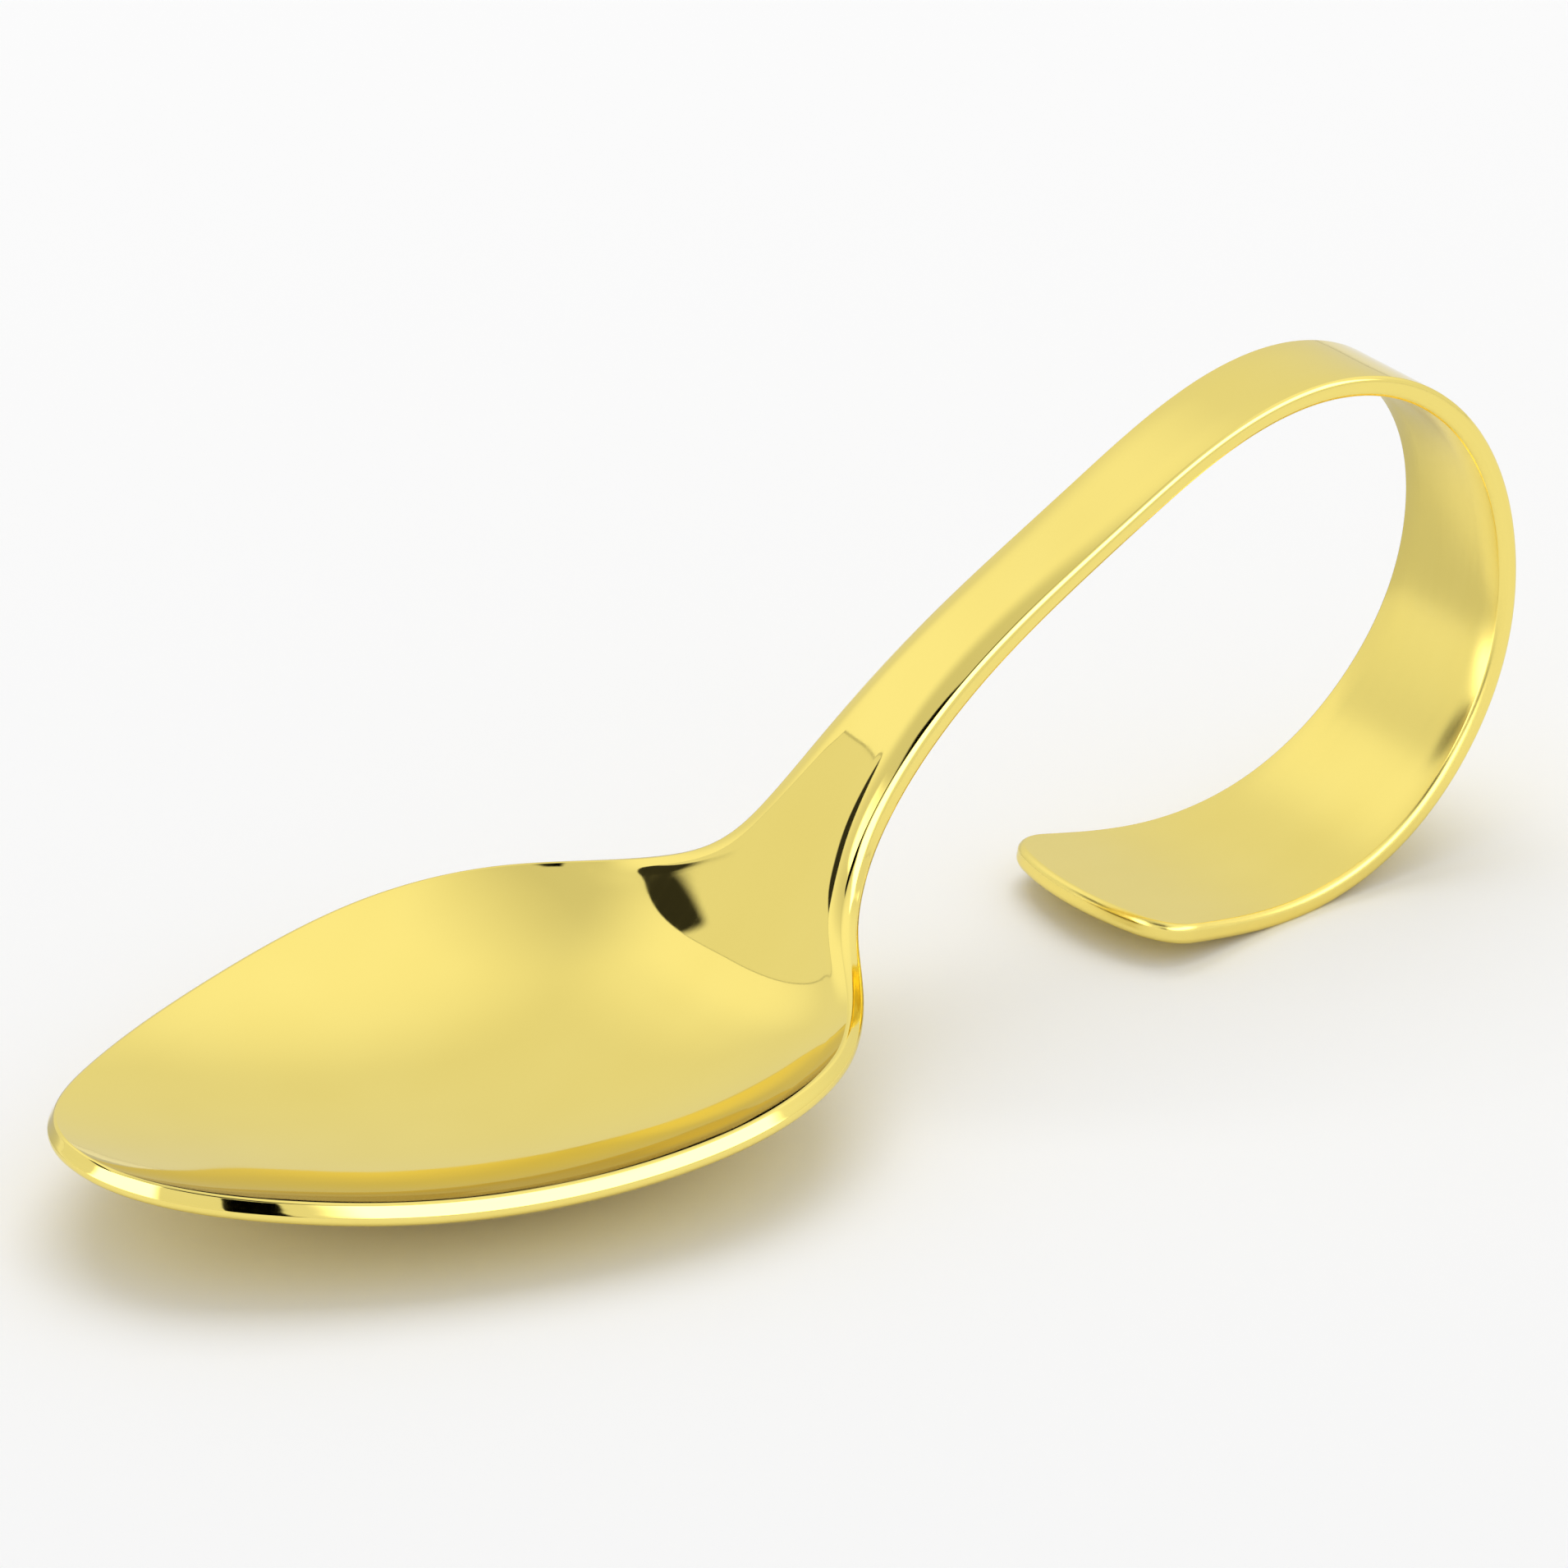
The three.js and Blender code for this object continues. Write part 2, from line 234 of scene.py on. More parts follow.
def top_corner(station):
    """(width, drop) of the top corner: barely broken on the bowl's rim, eased along the handle."""
    eased = ease(station, *RIM_TO_HANDLE)
    return tuple(rim + (handle - rim) * eased for rim, handle in zip(RIM_ROUND, HANDLE_ROUND))


def margin(length, fall, corner):
    """Insets and drops from the middle of a rib out to its edge: even steps over the flat, steps that
    shrink over the falling margin, then the corner, whose inset is width (1 - sin^p) and whose drop is
    drop (1 - cos^p), p being 2 / squareness. The margin adds fall (1 - inset / FALL_WIDTH)^2."""
    length = length[:, None]
    width, drop = (np.reshape(size, (-1, 1)) + 0 * length for size in corner)
    flat = np.linspace(0, 1, POINTS_FLAT, endpoint=False)
    falling = 1 - (1 - np.linspace(0, 1, POINTS_FALLING, endpoint=False)) ** 2
    angle = np.linspace(0, np.pi / 2, POINTS_ROUND)
    out = np.sin(angle) ** (2 / CORNER_SQUARENESS)
    level = np.maximum(np.cos(angle), 0) ** (2 / CORNER_SQUARENESS)
    level[-1] = 0
    inset = np.concatenate([
        length + (FALL_WIDTH - length) * flat,
        FALL_WIDTH + (width - FALL_WIDTH) * falling,
        width * (1 - out),
    ], axis=1)
    drops = np.concatenate([0 * length * flat, 0 * length * falling, drop * (1 - level)], axis=1)
    return inset, drops + fall[:, None] * np.maximum(0, 1 - inset / FALL_WIDTH) ** 2


print("corners:", RIM_ROUND, "mm on the rim,", HANDLE_ROUND, "mm on the handle")
print("margins", FALL_WIDTH, "mm wide")

# %% [markdown]
# ## The ribs
# A rib runs from the middle of the strip to its edge. Along the handle the ribs lie square across.
# Round the tip and the tail they fan out, because square ribs would bunch up there and leave a spiky
# pole. This is the same reason why a UV sphere has poles and a fan of loops has none.

# %% Ribs from tip to tail
TIP_FAN, TAIL_FAN, TAIL_FAN_END = 9, 14, 5
TAIL_BULGE, TAIL_CORNER = 2.48, 2.71
REGION_ENDS = {"bowl": 0, "neck": 11, "stem": 39.3, "loop_crest": 67, "loop_back": 95}
RIB_SPACING, TIP_RIBS, TAIL_RIBS = 0.42, 120, 60
BOWL_SHARE, ARC_POINTS = 0.6, 200


def tip_ribs():
    """Rims along the edge from the tip to the widest place, keels evenly from TIP_FAN to there."""
    widest = edge_line[:int(BOWL_SHARE * EDGE_STEPS), 1].argmax()
    share = np.linspace(0, 1, TIP_RIBS)
    keel = TIP_FAN + (edge_line[widest, 0] - TIP_FAN) * share
    return np.column_stack([blank_edge(share * edge_shares[widest]), keel])


def square_ribs(start, stop):
    """Ribs straight across, evenly spaced between two stations, without the first."""
    count = int(np.ceil((stop - start) / RIB_SPACING))
    station = np.linspace(start, stop, count + 1)[1:]
    return np.column_stack([station, half_width(station), station])


def arc(a, control, b):
    """A quadratic Bezier arc: a(1-q)^2 + 2 control q(1-q) + b q^2."""
    q = np.linspace(0, 1, ARC_POINTS)[:, None]
    return a * (1 - q) ** 2 + 2 * control * q * (1 - q) + b * q ** 2


def tail_ribs():
    """Rims along the tail's side, round its corner and along its bulging end, keels fanning out."""
    start, side = BLANK_LENGTH - TAIL_FAN, BLANK_LENGTH - TAIL_CORNER
    half = half_width(BLANK_LENGTH)
    inner = half - TAIL_CORNER
    a = np.array([start, half_width(start)])
    b = np.array([side, half_width(side)])
    corner = np.array([BLANK_LENGTH, half])
    c = np.array([BLANK_LENGTH + TAIL_BULGE * (1 - (inner / half) ** 2), inner])
    d = np.array([BLANK_LENGTH + TAIL_BULGE, 0])
    end_control = np.array([d[0], inner / 2])
    path = np.concatenate([arc(a, (a + b) / 2, b), arc(b, corner, c)[1:], arc(c, end_control, d)[1:]])
    length = np.concatenate([[0], np.cumsum(np.linalg.norm(np.diff(path, axis=0), axis=1))])
    share = np.linspace(0, 1, TAIL_RIBS + 1)[1:]
    station = np.interp(share * length[-1], length, path[:, 0])
    y = np.interp(share * length[-1], length, path[:, 1]) * (share < 1)
    return np.column_stack([station, y, BLANK_LENGTH - TAIL_FAN - (TAIL_FAN_END - TAIL_FAN) * share])


rib_rows = [tip_ribs()]
last_rib = {}
for region, end in REGION_ENDS.items():
    rib_rows.append(square_ribs(rib_rows[-1][-1, 2], BOWL_LENGTH + end))
    last_rib[region] = sum(map(len, rib_rows)) - 1
rib_rows += [square_ribs(rib_rows[-1][-1, 2], BLANK_LENGTH - TAIL_FAN), tail_ribs()]
ribs = np.concatenate(rib_rows)
last_rib["tail_foot"] = len(ribs) - 1
print(len(ribs), "ribs, regions end at", last_rib)

# %% [markdown]
# ## The skin
# Now every rib gets its section: the top face from the middle out, the corner, the flat edge, the
# lower corner and the underside back to the middle. The other half is its mirror image. The two
# parameters of the surface are the rib and the place round the section.

# %% Sections and setting down
LAND_DEPTH, TILT_ROUNDS = 0.08, 8


def half_sections(ribs):
    """Points round half a section for every rib, and (station, y, face) of each on the flat blank."""
    rim, rim_y, keel = ribs.T
    length = np.hypot(rim - keel, rim_y)

    def face(fall, corner, sign):
        inset, drops = margin(length, fall, corner)
        share = inset / length[:, None]
        station = rim[:, None] + (keel - rim)[:, None] * share
        y = rim_y[:, None] * (1 - share)
        points = sheet_point(station, y, sign * (thickness(station) / 2 - drops))
        return points, np.stack([station, y, np.full_like(y, sign)], axis=-1)

    top, top_flat = face(top_fall(rim), top_corner(rim), 1)
    under, under_flat = face(under_fall(rim), UNDER_ROUND, -1)
    share = (np.arange(1, POINTS_FACE + 1) / (POINTS_FACE + 1))[None, :, None]
    edge = top[:, -1:] * (1 - share) + under[:, -1:] * share
    edge_flat = top_flat[:, -1:] * (1 - share) + under_flat[:, -1:] * share
    points = np.concatenate([top, edge, under[:, ::-1]], axis=1)
    return points, np.concatenate([top_flat, edge_flat, under_flat[:, ::-1]], axis=1)


def set_down(points, bowl_ribs):
    """Tilts the spoon about Y until bowl and handle have equally low points, centres it along X, and
    sinks it by LAND_DEPTH with everything below the table flattened onto it."""
    for _ in range(TILT_ROUNDS):
        bowl = points[:bowl_ribs].reshape(-1, 3)
        handle = points[bowl_ribs:].reshape(-1, 3)
        belly, heel = bowl[bowl[:, 2].argmin()], handle[handle[:, 2].argmin()]
        tilt = np.arctan2(heel[2] - belly[2], heel[0] - belly[0])
        x = points[..., 0] * np.cos(tilt) + points[..., 2] * np.sin(tilt)
        z = points[..., 2] * np.cos(tilt) - points[..., 0] * np.sin(tilt)
        points = np.stack([x, points[..., 1], z], axis=-1)
    x, z = points[..., 0], points[..., 2]
    low = np.array([(x.min() + x.max()) / 2, 0, z.min() + LAND_DEPTH])
    return np.maximum(points - low, np.array([-np.inf, -np.inf, 0]))


half, flat_half = half_sections(ribs)
half = set_down(half, last_rib["bowl"] + 1)
across = half.shape[1]
skin = np.concatenate([half, half[:, -2:0:-1] * [1, -1, 1]], axis=1) * MM
flat = np.concatenate([flat_half, flat_half[:, -2:0:-1] * [1, -1, 1]], axis=1)
skin_box = np.stack([skin.min((0, 1)), skin.max((0, 1))]) / MM
print("skin grid", skin.shape[:2], "box in mm", np.round(skin_box, 2).tolist())

# %% [markdown]
# ## Shading normals
# A mirror finish shows every error of its normals. Blender's own vertex normals weigh faces by angle,
# which tilts the flats beside a narrow corner. Weighing by area, as the Weighted Normal modifier
# does, keeps them flat. Doing it over the whole skin also hides where it is divided into pieces.

# %% Faces and normals of the whole skin
ring = skin.shape[1]
number = np.arange(skin.shape[0] * ring).reshape(-1, ring)
mirrored = np.minimum(np.arange(ring), (ring - np.arange(ring)) % ring)
number[0], number[-1] = number[0, mirrored], number[-1, mirrored]


def skin_quads(rows):
    """Four corners of every face between neighbouring rows of points, going round each ring."""
    beside = np.roll(rows, -1, axis=1)
    return np.stack([rows[:-1], rows[1:], beside[1:], beside[:-1]], axis=-1).reshape(-1, 4)


points = skin.reshape(-1, 3)
quads = skin_quads(number)
area_normal = np.cross(points[quads[:, 2]] - points[quads[:, 0]], points[quads[:, 3]] - points[quads[:, 1]])
normals = np.zeros_like(points)
np.add.at(normals, quads.ravel(), np.repeat(area_normal, 4, axis=0))
normals /= np.maximum(np.linalg.norm(normals, axis=1, keepdims=True), 1e-30)
mean_height = normals[number[:, 0], 2].mean()
print(len(quads), "faces; mean height of the top's normals", round(float(mean_height), 2))

# %% [markdown]
# ## The pieces
# The real spoon has no parts, but the library wants to pick the bowl or the loop by name. The skin is
# therefore divided where the CAD regions meet. Each piece is closed by a flat face at the cut, shares
# its edge points and normals with its neighbour, and so no line shows in the polish.

# %% Divide the skin into named pieces


def cut_face(row, flipped):
    """Quads that close one ring: each top point joins the point below it, on both halves."""
    j = np.arange(across // 2 - 1)
    below = across - 1 - j
    left = np.stack([row[j], row[j + 1], row[below - 1], row[below]], axis=-1)
    back = row[(ring - np.arange(across)) % ring]
    right = np.stack([back[j], back[below], back[below - 1], back[j + 1]], axis=-1)
    faces = np.concatenate([left, right])
    return faces[:, ::-1] if flipped else faces


def skin_piece(name, node, first, last):
    """A mesh of the skin's rows from first to last, closed at its cuts, with the whole skin's normals."""
    faces = [skin_quads(number[first:last + 1])]
    if first > 0:
        faces.append(cut_face(number[first], False))
    if last < len(number) - 1:
        faces.append(cut_face(number[last], True))
    caps_from = len(faces[0])
    faces = np.concatenate(faces)
    used, corners = np.unique(faces, return_inverse=True)
    corners = corners.reshape(-1, 4)
    mesh = bpy.data.meshes.new(name)
    mesh.from_pydata(points[used], [], corners.tolist())
    place = mesh.attributes.new("blank_mm", "FLOAT_VECTOR", "POINT")
    place.data.foreach_set("vector", flat.reshape(-1, 3)[used].astype(np.float32).ravel())
    shading = normals[faces].copy()
    cut = points[faces[caps_from:]]
    cut_normal = np.cross(cut[:, 2] - cut[:, 0], cut[:, 3] - cut[:, 1])
    cut_normal /= np.maximum(np.linalg.norm(cut_normal, axis=1, keepdims=True), 1e-30)
    shading[caps_from:] = cut_normal[:, None]
    mesh.shade_smooth()
    mesh.normals_split_custom_set(shading.reshape(-1, 3).tolist())
    piece = bpy.data.objects.new(name, mesh)
    bpy.context.collection.objects.link(piece)
    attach(piece, "root")
    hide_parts(node)
    print(name, len(faces), "faces")
    return piece


spoon_pieces = []
first = 0
for node, last in last_rib.items():
    spoon_pieces.append(skin_piece("polished_" + node, node, first, last))
    first = last

# %% [markdown]
# ## The finish
# Stainless steel, mirror polished and then coated in a vacuum with titanium nitride, which is the
# usual hard gold colour on cutlery. The eye gets a pale lemon gold that mirrors the room crisply, with
# the faintest lines along the strip where the polishing wheel ran, and a slow waviness from the press.

# %% Helpers for materials


def linear(hex_colour):
    """An sRGB hex colour as linear RGBA: below 0.04045 a straight line, above it a 2.4 power."""
    s = np.array([int(hex_colour[i:i + 2], 16) for i in (1, 3, 5)]) / 255
    return (*np.where(s <= 0.04045, s / 12.92, ((s + 0.055) / 1.055) ** 2.4).tolist(), 1.0)


def add_node(tree, kind, links=None, inputs=None, **settings):
    """Adds a node, sets its properties and its sockets, and links sockets from other nodes' outputs."""
    node = tree.nodes.new(kind)
    for key, value in settings.items():
        setattr(node, key, value)
    for key, value in (inputs or {}).items():
        node.inputs[key].default_value = value
    for key, output in (links or {}).items():
        tree.links.new(output, node.inputs[key])
    return node


WHITE = linear("#FFFFFF")
print("white is", WHITE[:3])

# %% Gold coated polished steel
# Millimetres. Polishing lines are a few hundredths wide, and are drawn coarser so that they show.
STREAK_LENGTH, STREAK_WIDTH, STREAK_HEIGHT = 14, 0.45, 0.0003
WAVE_LENGTH, WAVE_WIDTH, WAVE_HEIGHT = 9, 5.625, 0.008
# The third number of blank_mm is 1 on the top face and -1 below, so the two faces get other patterns.
FACE_SHIFT, UNDERSIDE = 0.6, (-0.8, -1)
NOISE_RANGE, GLOSS, SATIN, LOOP_SATIN = (0.3, 0.7), (0.03, 0.06), 0.2, (100, 125)

gold = bpy.data.materials.new("gold_coated_mirror_polished_steel")
gold.use_nodes = True
tree = gold.node_tree
tree.nodes.clear()
blank = add_node(tree, "ShaderNodeAttribute", attribute_name="blank_mm")
along = add_node(tree, "ShaderNodeMapping", {"Vector": blank.outputs["Vector"]},
                 {"Scale": (1 / STREAK_LENGTH, 1 / STREAK_WIDTH, FACE_SHIFT)})
lines = add_node(tree, "ShaderNodeTexNoise", {"Vector": along.outputs["Vector"]}, {"Scale": 1, "Detail": 3})
slow = add_node(tree, "ShaderNodeMapping", {"Vector": blank.outputs["Vector"]},
                {"Scale": (1 / WAVE_LENGTH, 1 / WAVE_WIDTH, FACE_SHIFT)})
waves = add_node(tree, "ShaderNodeTexNoise", {"Vector": slow.outputs["Vector"]}, {"Scale": 1, "Detail": 1})
# Heights under a hundredth of a millimetre bend a reflection without showing as relief.
line_bump = add_node(tree, "ShaderNodeBump", {"Height": lines.outputs["Fac"]},
                     {"Strength": 1, "Distance": STREAK_HEIGHT * MM})
wave_bump = add_node(tree, "ShaderNodeBump",
                     {"Height": waves.outputs["Fac"], "Normal": line_bump.outputs["Normal"]},
                     {"Strength": 1, "Distance": WAVE_HEIGHT * MM})
gloss = add_node(tree, "ShaderNodeMapRange", {"Value": lines.outputs["Fac"]},
                 {"From Min": NOISE_RANGE[0], "From Max": NOISE_RANGE[1],
                  "To Min": GLOSS[0], "To Max": GLOSS[1]})
# The wheel hardly reaches inside the loop, so the steel stays satin there.
parts = add_node(tree, "ShaderNodeSeparateXYZ", {"Vector": blank.outputs["Vector"]})
in_loop = add_node(tree, "ShaderNodeMapRange", {"Value": parts.outputs["X"]},
                   {"From Min": LOOP_SATIN[0], "From Max": LOOP_SATIN[1]}, interpolation_type="SMOOTHSTEP")
below = add_node(tree, "ShaderNodeMapRange", {"Value": parts.outputs["Z"]},
                 {"From Min": UNDERSIDE[0], "From Max": UNDERSIDE[1]})
satin = add_node(tree, "ShaderNodeMath", {0: in_loop.outputs["Result"], 1: below.outputs["Result"]},
                 operation="MULTIPLY")
rough = add_node(tree, "ShaderNodeMath", {0: satin.outputs[0], 2: gloss.outputs["Result"]}, {1: SATIN},
                 operation="MULTIPLY_ADD")
tone = add_node(tree, "ShaderNodeMix", {"Factor": waves.outputs["Fac"]}, data_type="RGBA")
for key, hex_colour in (("A", "#F5E07B"), ("B", "#F9E582")):
    socket = [s for s in tone.inputs if s.name == key and s.type == "RGBA"][0]
    socket.default_value = linear(hex_colour)
tone_out = [s for s in tone.outputs if s.type == "RGBA"][0]
# Hard coatings mirror a little less than pure metals do close to grazing.
steel = add_node(tree, "ShaderNodeBsdfPrincipled",
                 {"Base Color": tone_out, "Roughness": rough.outputs[0],
                  "Normal": wave_bump.outputs["Normal"]},
                 {"Metallic": 1, "Specular Tint": linear("#EEEEEE")})
add_node(tree, "ShaderNodeOutputMaterial", {"Surface": steel.outputs["BSDF"]})
for piece in spoon_pieces:
    piece.data.materials.append(gold)
print("coated", len(spoon_pieces), "pieces with", gold.name)

# %% [markdown]
# ## The table
# A matt white sheet under the spoon. It keeps a soft contact shadow and lights the belly from below. A
# plane that only catches shadows would do for the picture, but the polish would have no table to mirror.

# %% White sheet
SHEET_HALF = 4.0
sheet_corners = np.array([[-1, -1, 0], [1, -1, 0], [1, 1, 0], [-1, 1, 0]]) * SHEET_HALF
sheet_mesh = bpy.data.meshes.new("white_sheet")
sheet_mesh.from_pydata(sheet_corners.tolist(), [], [[0, 1, 2, 3]])
white_sheet = bpy.data.objects.new("white_sheet", sheet_mesh)
bpy.context.collection.objects.link(white_sheet)
paper = bpy.data.materials.new("matt_white_paper")
paper.use_nodes = True
paper_shader = paper.node_tree.nodes["Principled BSDF"]
paper_shader.inputs["Base Color"].default_value = linear("#FCFCFC")
paper_shader.inputs["Roughness"].default_value = 1
paper_shader.inputs["Specular IOR Level"].default_value = 0
sheet_mesh.materials.append(paper)
print("sheet", 2 * SHEET_HALF, "m across")

# %% [markdown]
# ## The studio
# Polished metal shows its surroundings and little else, so the look is made by what stands round it.
# The spoon lies in a white tent, and what the tent leaves open shows dark in the polish. An image
# could be wrapped round the scene instead, but cloth and panels are easier to move one by one.

# %% White tent


def towards(turn, rise, distance=1.0):
    """The point at a distance from the origin, turned from +X towards +Y and raised, in degrees."""
    turn, rise = np.radians(turn), np.radians(rise)
    level = np.cos(rise)
    return distance * np.stack([np.cos(turn) * level, np.sin(turn) * level, np.sin(rise)], axis=-1)


# Where the cloth is lit more or less than elsewhere: turn, rise, how wide in degrees, how much.
TENT_PATCHES = {
    "behind left": (116, 44, 36, 0.19),
    "right": (340, 55, 45, 0.2),
    "above left": (205, 72, 40, -0.15),
}
TENT_LEVEL, ROOM_LEVEL = 0.86, 0.7

tent = bpy.data.worlds.new("white_tent")
bpy.context.scene.world = tent
tent.use_nodes = True
tree = tent.node_tree
tree.nodes.clear()
ray = add_node(tree, "ShaderNodeLightPath")
seen = add_node(tree, "ShaderNodeMath", {0: ray.outputs["Is Camera Ray"], 1: ray.outputs["Is Glossy Ray"]},
                operation="MAXIMUM")
seen = add_node(tree, "ShaderNodeMath", {0: seen.outputs[0], 1: ray.outputs["Is Transmission Ray"]},
                operation="MAXIMUM")
direction = add_node(tree, "ShaderNodeTexCoord")
so_far = {}
for turn, rise, width, more in TENT_PATCHES.values():
    near = add_node(tree, "ShaderNodeVectorMath", {0: direction.outputs["Generated"]},
                    {1: towards(turn, rise).tolist()}, operation="DOT_PRODUCT")
    patch = add_node(tree, "ShaderNodeMapRange", {"Value": near.outputs["Value"]},
                     {"From Min": np.cos(np.radians(width)), "From Max": 1, "To Max": more},
                     interpolation_type="SMOOTHSTEP")
    cloth = add_node(tree, "ShaderNodeMath", {1: patch.outputs["Result"], **so_far}, {0: TENT_LEVEL},
                     operation="ADD")
    so_far = {0: cloth.outputs[0]}
level = add_node(tree, "ShaderNodeMapRange", {"Value": seen.outputs[0], "To Max": cloth.outputs[0]},
                 {"To Min": ROOM_LEVEL})
cloth_light = add_node(tree, "ShaderNodeBackground", {"Strength": level.outputs["Result"]},
                       {"Color": WHITE})
add_node(tree, "ShaderNodeOutputWorld", {"Surface": cloth_light.outputs["Background"]})
print("tent with", len(TENT_PATCHES), "patches of light")

# %% [markdown]
# ## The lamp
# One big soft box overhead lights the table and draws the shadow. A sun would draw a hard one. It is
# kept out of the polish, because the tent's cloth is what the spoon mirrors there.

# %% Soft box overhead


def soft_box(name, turn, rise, distance, width, height, radiance):
    """A rectangular lamp that looks at the origin and stays out of the picture. Its power is the
    radiance times pi times its area."""
    lamp = bpy.data.lights.new(name, "AREA")
    lamp.shape = "RECTANGLE"
    lamp.size, lamp.size_y = width, height
    lamp.energy = radiance * np.pi * width * height
    box = bpy.data.objects.new(name, lamp)
    place = Vector(towards(turn, rise, distance))
    box.matrix_world = Matrix.Translation(place) @ place.to_track_quat("Z", "Y").to_matrix().to_4x4()
    box.visible_camera = False
    box.visible_glossy = False
    bpy.context.collection.objects.link(box)
    print(name, "at", [round(v, 2) for v in place], round(lamp.energy, 1), "W")


soft_box("overhead_soft_box", turn=60, rise=70, distance=1.5, width=1.2, height=1.2, radiance=1.7)

# %% [markdown]
# ## What the polish mirrors
# To the left the tent has an arched opening with a stitched hem. Another cloth closes it but for one
# side, where the room shows dark. A soft panel hangs beside it and another on the right, and the lens
# looks in through a gap below a slit in the roof. Planes would do, but pieces of a sphere are measured
# in the same two angles as a mirrored ray, so each sits where its reflection is wanted.

# %% Panels round the spoon
PANEL_DISTANCE, LAYER, PANEL_GRID = 1.6, 0.02, (80, 24)
panels = []


def hang(name, grid, place, level, edges):
    """A grid of cloth with two numbers for every point. The cloth is full inside and clear outside its
    edges: each is a straight soft step across the two numbers. It is only mirrored: it lights nothing,
    casts no shadow and stays out of the picture."""
    index = np.arange(grid[..., 0].size).reshape(grid.shape[:2])
    faces = np.stack([index[:-1, :-1], index[:-1, 1:], index[1:, 1:], index[1:, :-1]], axis=-1)
    faces = faces.reshape(-1, 4)
    mesh = bpy.data.meshes.new(name)
    mesh.from_pydata(grid.reshape(-1, 3), [], faces.tolist())
    numbers = mesh.attributes.new("place", "FLOAT_VECTOR", "POINT")
    numbers.data.foreach_set("vector", np.stack([*place, 0 * place[0]], axis=-1).astype(np.float32).ravel())
    cloth = bpy.data.materials.new(name + "_cloth")
    cloth.use_nodes = True
    tree = cloth.node_tree
    tree.nodes.clear()
    where = add_node(tree, "ShaderNodeAttribute", attribute_name="place")
    cover = None
    for by_first, by_second, start, end in edges:
        across = add_node(tree, "ShaderNodeVectorMath", {0: where.outputs["Vector"]},
                          {1: (by_first, by_second, 0)}, operation="DOT_PRODUCT")
        step = add_node(tree, "ShaderNodeMapRange", {"Value": across.outputs["Value"]},
                        {"From Min": start, "From Max": end}, interpolation_type="SMOOTHSTEP")
        if cover:
            step = add_node(tree, "ShaderNodeMath", {0: cover.outputs[0], 1: step.outputs[0]},
                            operation="MULTIPLY")
        cover = step
    clear = add_node(tree, "ShaderNodeBsdfTransparent")
    light = add_node(tree, "ShaderNodeEmission", {}, {"Color": WHITE, "Strength": level})
    both = add_node(tree, "ShaderNodeMixShader",
                    {0: cover.outputs[0], 1: clear.outputs[0], 2: light.outputs[0]})
    add_node(tree, "ShaderNodeOutputMaterial", {"Surface": both.outputs[0]})
    mesh.materials.append(cloth)
    board = bpy.data.objects.new(name, mesh)
    bpy.context.collection.objects.link(board)
    board.visible_camera = False
    board.visible_diffuse = False
    board.visible_shadow = False
    panels.append(board)
    print(name, len(faces), "faces, light", level)


def panel(name, turns, rises, level, edges):
    """A piece of a sphere round the spoon, from a lowest to a highest rise at each turn. A later panel
    hangs in front of the earlier ones."""
    turn = np.linspace(*turns, PANEL_GRID[0])[:, None]
    low, high = (rise(turn) if callable(rise) else rise for rise in rises)
    rise = low + (high - low) * np.linspace(0, 1, PANEL_GRID[1])[None, :] + 0 * turn
    turn = turn + 0 * rise
    grid = towards(turn, rise, PANEL_DISTANCE - LAYER * len(panels))
    hang(name, grid, (turn, rise), level, edges)


def four_edges(turns, rises, soft):
    """Soft steps along the four sides of a panel."""
    return [(1, 0, turns[0], turns[0] + soft), (-1, 0, -turns[1], soft - turns[1]),
            (0, 1, rises[0], rises[0] + soft), (0, -1, -rises[1], soft - rises[1])]


ARCH_MIDDLE, ARCH_HALF, ARCH_HEIGHT, HEM = 142, 33.3, 45.2, 0.45


def arch(turn, wider=0):
    """The round top of the left opening: half an ellipse in turn and rise."""
    reach = (turn - ARCH_MIDDLE) / (ARCH_HALF + wider)
    return (ARCH_HEIGHT + wider) * np.sqrt(np.maximum(0, 1 - reach ** 2))


# Levels of light, where 1 is white. The last is painted shade for the table behind the spoon.
CLOTH, HEM_STITCH, DIM, DARK, FLOOR_SHADE = 0.86, 0.55, 0.03, 0, 0.64
LEFT_PANEL, RIGHT_PANEL = 3, 3.2
# Turns and rises of each panel in degrees.
ARCH_TURNS = (ARCH_MIDDLE - ARCH_HALF, ARCH_MIDDLE + ARCH_HALF)
HEM_TURNS = (ARCH_TURNS[0] - HEM, ARCH_TURNS[1] + HEM)
LEFT_BOX, RIGHT_BOX = ((146, 206), (1, 56)), ((250, 324), (12, 42))
LENS_GAP, ROOF_SLIT = ((232.5, 247), (8, 29)), ((201, 264), (36, 67))
SOFT, CRISP = 7, 0.6
# An edge is a share of the turn, a share of the rise, and the sums where the cloth starts and is full.
EVERYWHERE = [(0, 1, -2, -1)]
DIM_EDGES = [(0.36, 1, 80.8, 85.2), (1, 0.35, 146.5, 150.5)]
LEFT_SLANT = (1, -0.65, 142, 148)
SLIT_EDGES = [(0.21, 1, 93, 96.5), (0.37, -1, 14, 15.4), (0, -1, -67, -64)]
SLIT_EDGES += [(1, 0, 201, 206), (-1, 0, -264, -256)]
panel("left_opening_cloth", ARCH_TURNS, (0, arch), CLOTH, EVERYWHERE)
panel("left_opening_dark", ARCH_TURNS, (0, arch), DIM, DIM_EDGES)
panel("left_opening_hem", HEM_TURNS, (arch, lambda turn: arch(turn, HEM)), HEM_STITCH, EVERYWHERE)
panel("left_soft_panel", *LEFT_BOX, LEFT_PANEL, four_edges(*LEFT_BOX, SOFT)[1:] + [LEFT_SLANT])
panel("right_soft_panel", *RIGHT_BOX, RIGHT_PANEL, four_edges(*RIGHT_BOX, SOFT))
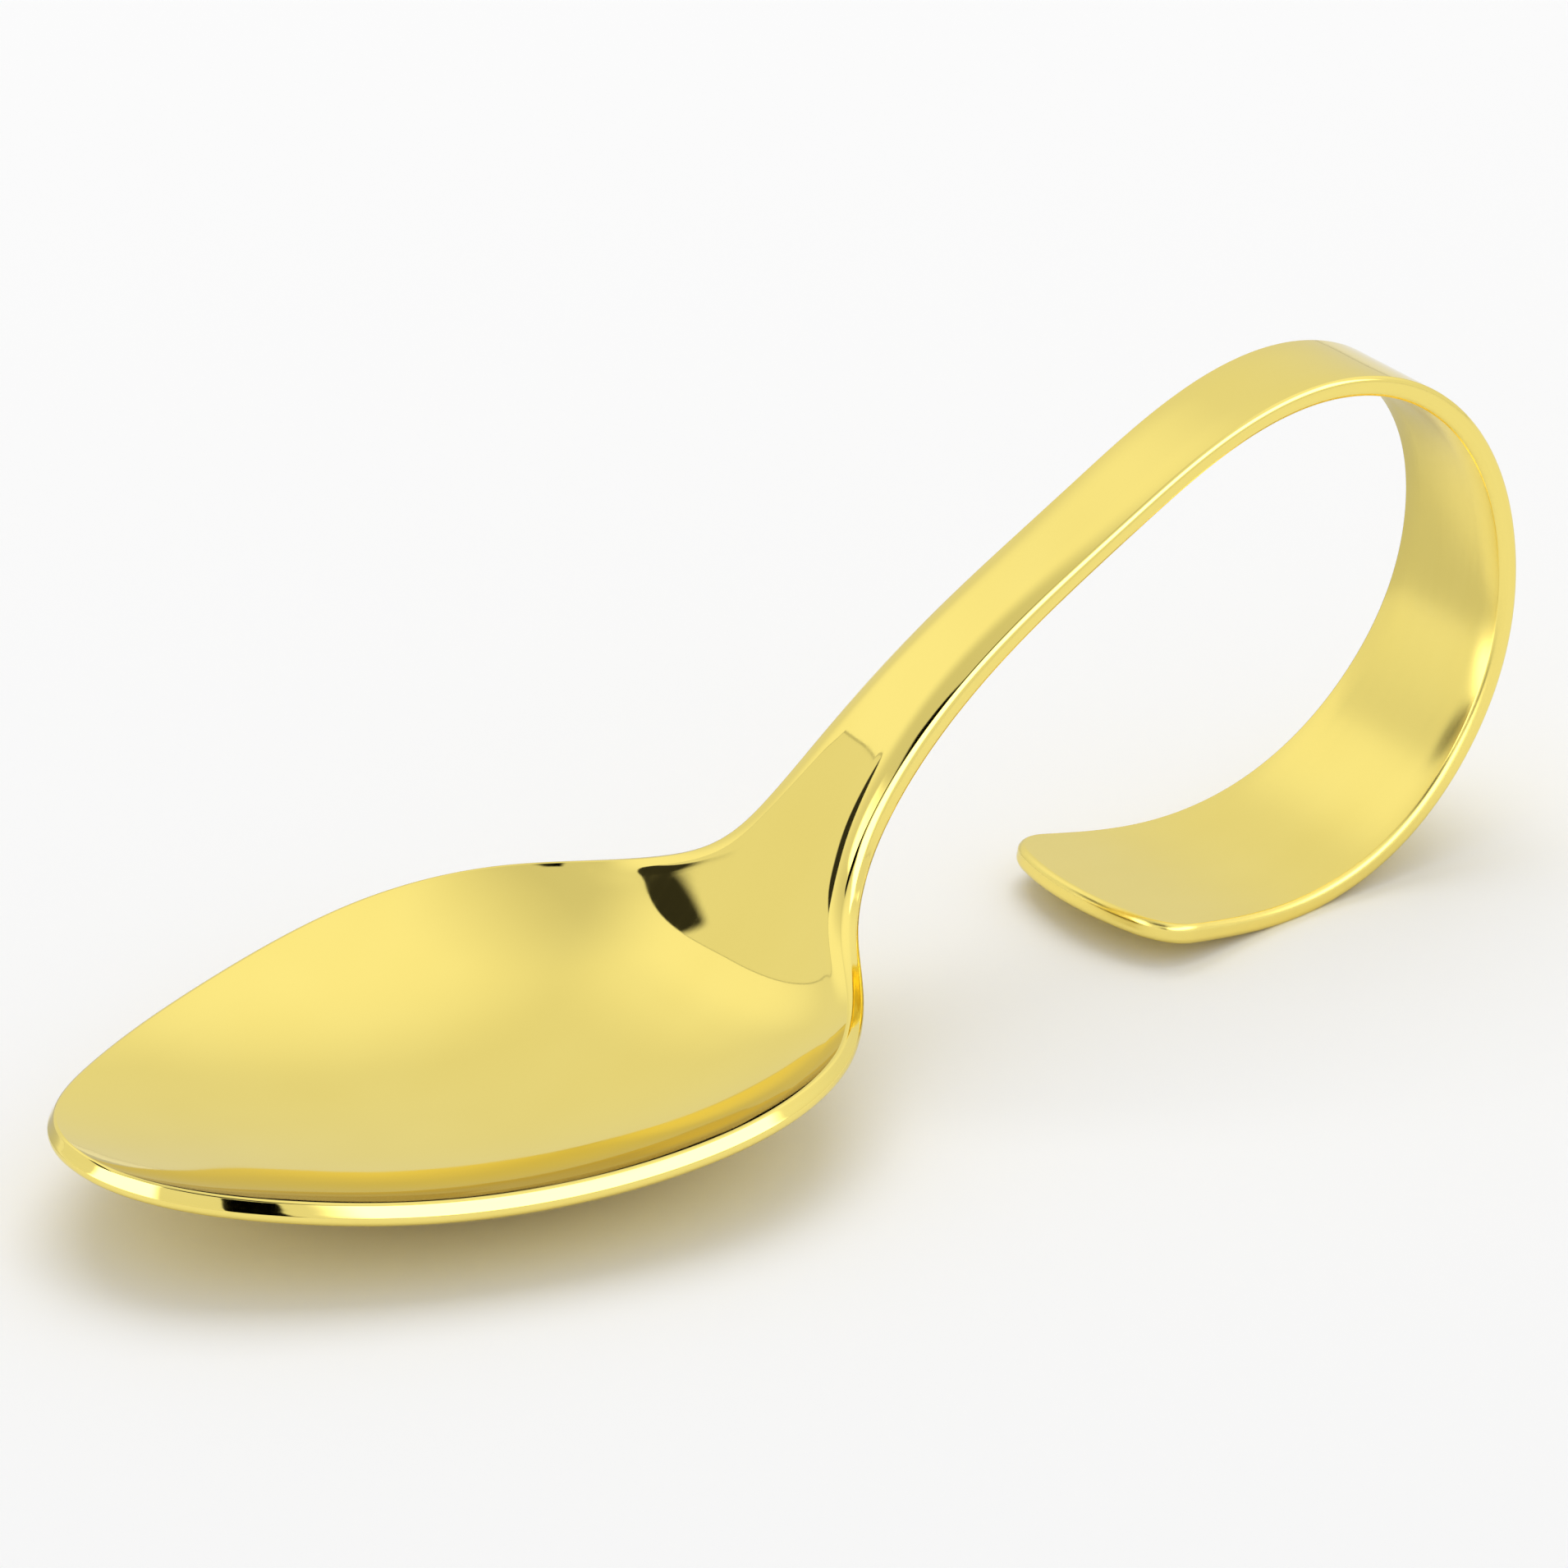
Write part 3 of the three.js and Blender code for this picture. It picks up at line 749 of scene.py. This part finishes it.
panel("lens_gap", *LENS_GAP, DARK, four_edges(*LENS_GAP, CRISP))
panel("roof_slit", *ROOF_SLIT, DARK, SLIT_EDGES)

# %% [markdown]
# ## Painted shade on the table
# A grey sheet lies on the table behind the spoon. It is painted shade: it glows at a fixed grey, is seen
# only in the polish, and stands for the shaded table that the inside of the loop mirrors, which is
# darker than the lit table would make it. A darker steel there would change the other views too.

# %% Painted shade on the table, seen only in the polish
# Painted shade: a flat grey glow behind the spoon, mirrored by the inside of the loop in place of the
# shaded table.
FLOOR_SHADE_X, FLOOR_SHADE_Y, FLOOR_SHADE_LIFT, FLOOR_SHADE_POINTS = (-110, 110), (22.5, 270), 0.5, 12
FLOOR_SHADE_EDGES = [(1, 0, -110, -60), (-1, 0, -110, -70), (0, 1, 22.5, 28), (0, -1, -270, -110)]
floor_shade_sides = [np.linspace(*side, FLOOR_SHADE_POINTS) for side in (FLOOR_SHADE_X, FLOOR_SHADE_Y)]
floor_shade_x, floor_shade_y = np.meshgrid(*floor_shade_sides, indexing="ij")
floor_shade_points = np.stack([floor_shade_x, floor_shade_y, np.full_like(floor_shade_x, FLOOR_SHADE_LIFT)], axis=-1) * MM
hang("painted_floor_shade_behind", floor_shade_points, (floor_shade_x, floor_shade_y), FLOOR_SHADE, FLOOR_SHADE_EDGES)

# %% [markdown]
# ## The camera
# The photograph was taken from the bowl's side, a little above, through a long lens. Its place and lens
# were fitted to the spoon's outline. Turning the spoon instead would leave the part's own frame.

# %% Long lens
CAMERA_TURN, CAMERA_RISE, CAMERA_ROLL = np.radians([40.068, 26.658, 2.396])
CAMERA_DISTANCE = 0.8405
CAMERA_AIM = np.array([16.484, 21.646, 5.582]) * MM
FOCAL_PIXELS, PICTURE_PIXELS, SENSOR = 14000, 1910, 36
right = np.array([np.cos(CAMERA_TURN), -np.sin(CAMERA_TURN), 0])
ahead = np.array([np.sin(CAMERA_TURN), np.cos(CAMERA_TURN), 0])
up = ahead * np.sin(CAMERA_RISE) + np.array([0, 0, np.cos(CAMERA_RISE)])
backward = np.cross(right, up)
right, up = (np.cos(CAMERA_ROLL) * right + np.sin(CAMERA_ROLL) * up,
             np.cos(CAMERA_ROLL) * up - np.sin(CAMERA_ROLL) * right)
long_lens = bpy.data.cameras.new("long_lens")
long_lens.sensor_width = SENSOR
long_lens.lens = FOCAL_PIXELS / PICTURE_PIXELS * SENSOR
camera = bpy.data.objects.new("long_lens", long_lens)
axes = Matrix(np.column_stack([right, up, backward]).tolist())
place = Vector(CAMERA_AIM + CAMERA_DISTANCE * backward)
camera.matrix_world = Matrix.LocRotScale(place, axes.to_quaternion(), None)
bpy.context.collection.objects.link(camera)
bpy.context.scene.camera = camera
bpy.context.scene.view_settings.view_transform = "Standard"
print("camera at", [round(v, 4) for v in camera.matrix_world.translation], "lens", round(long_lens.lens, 1))
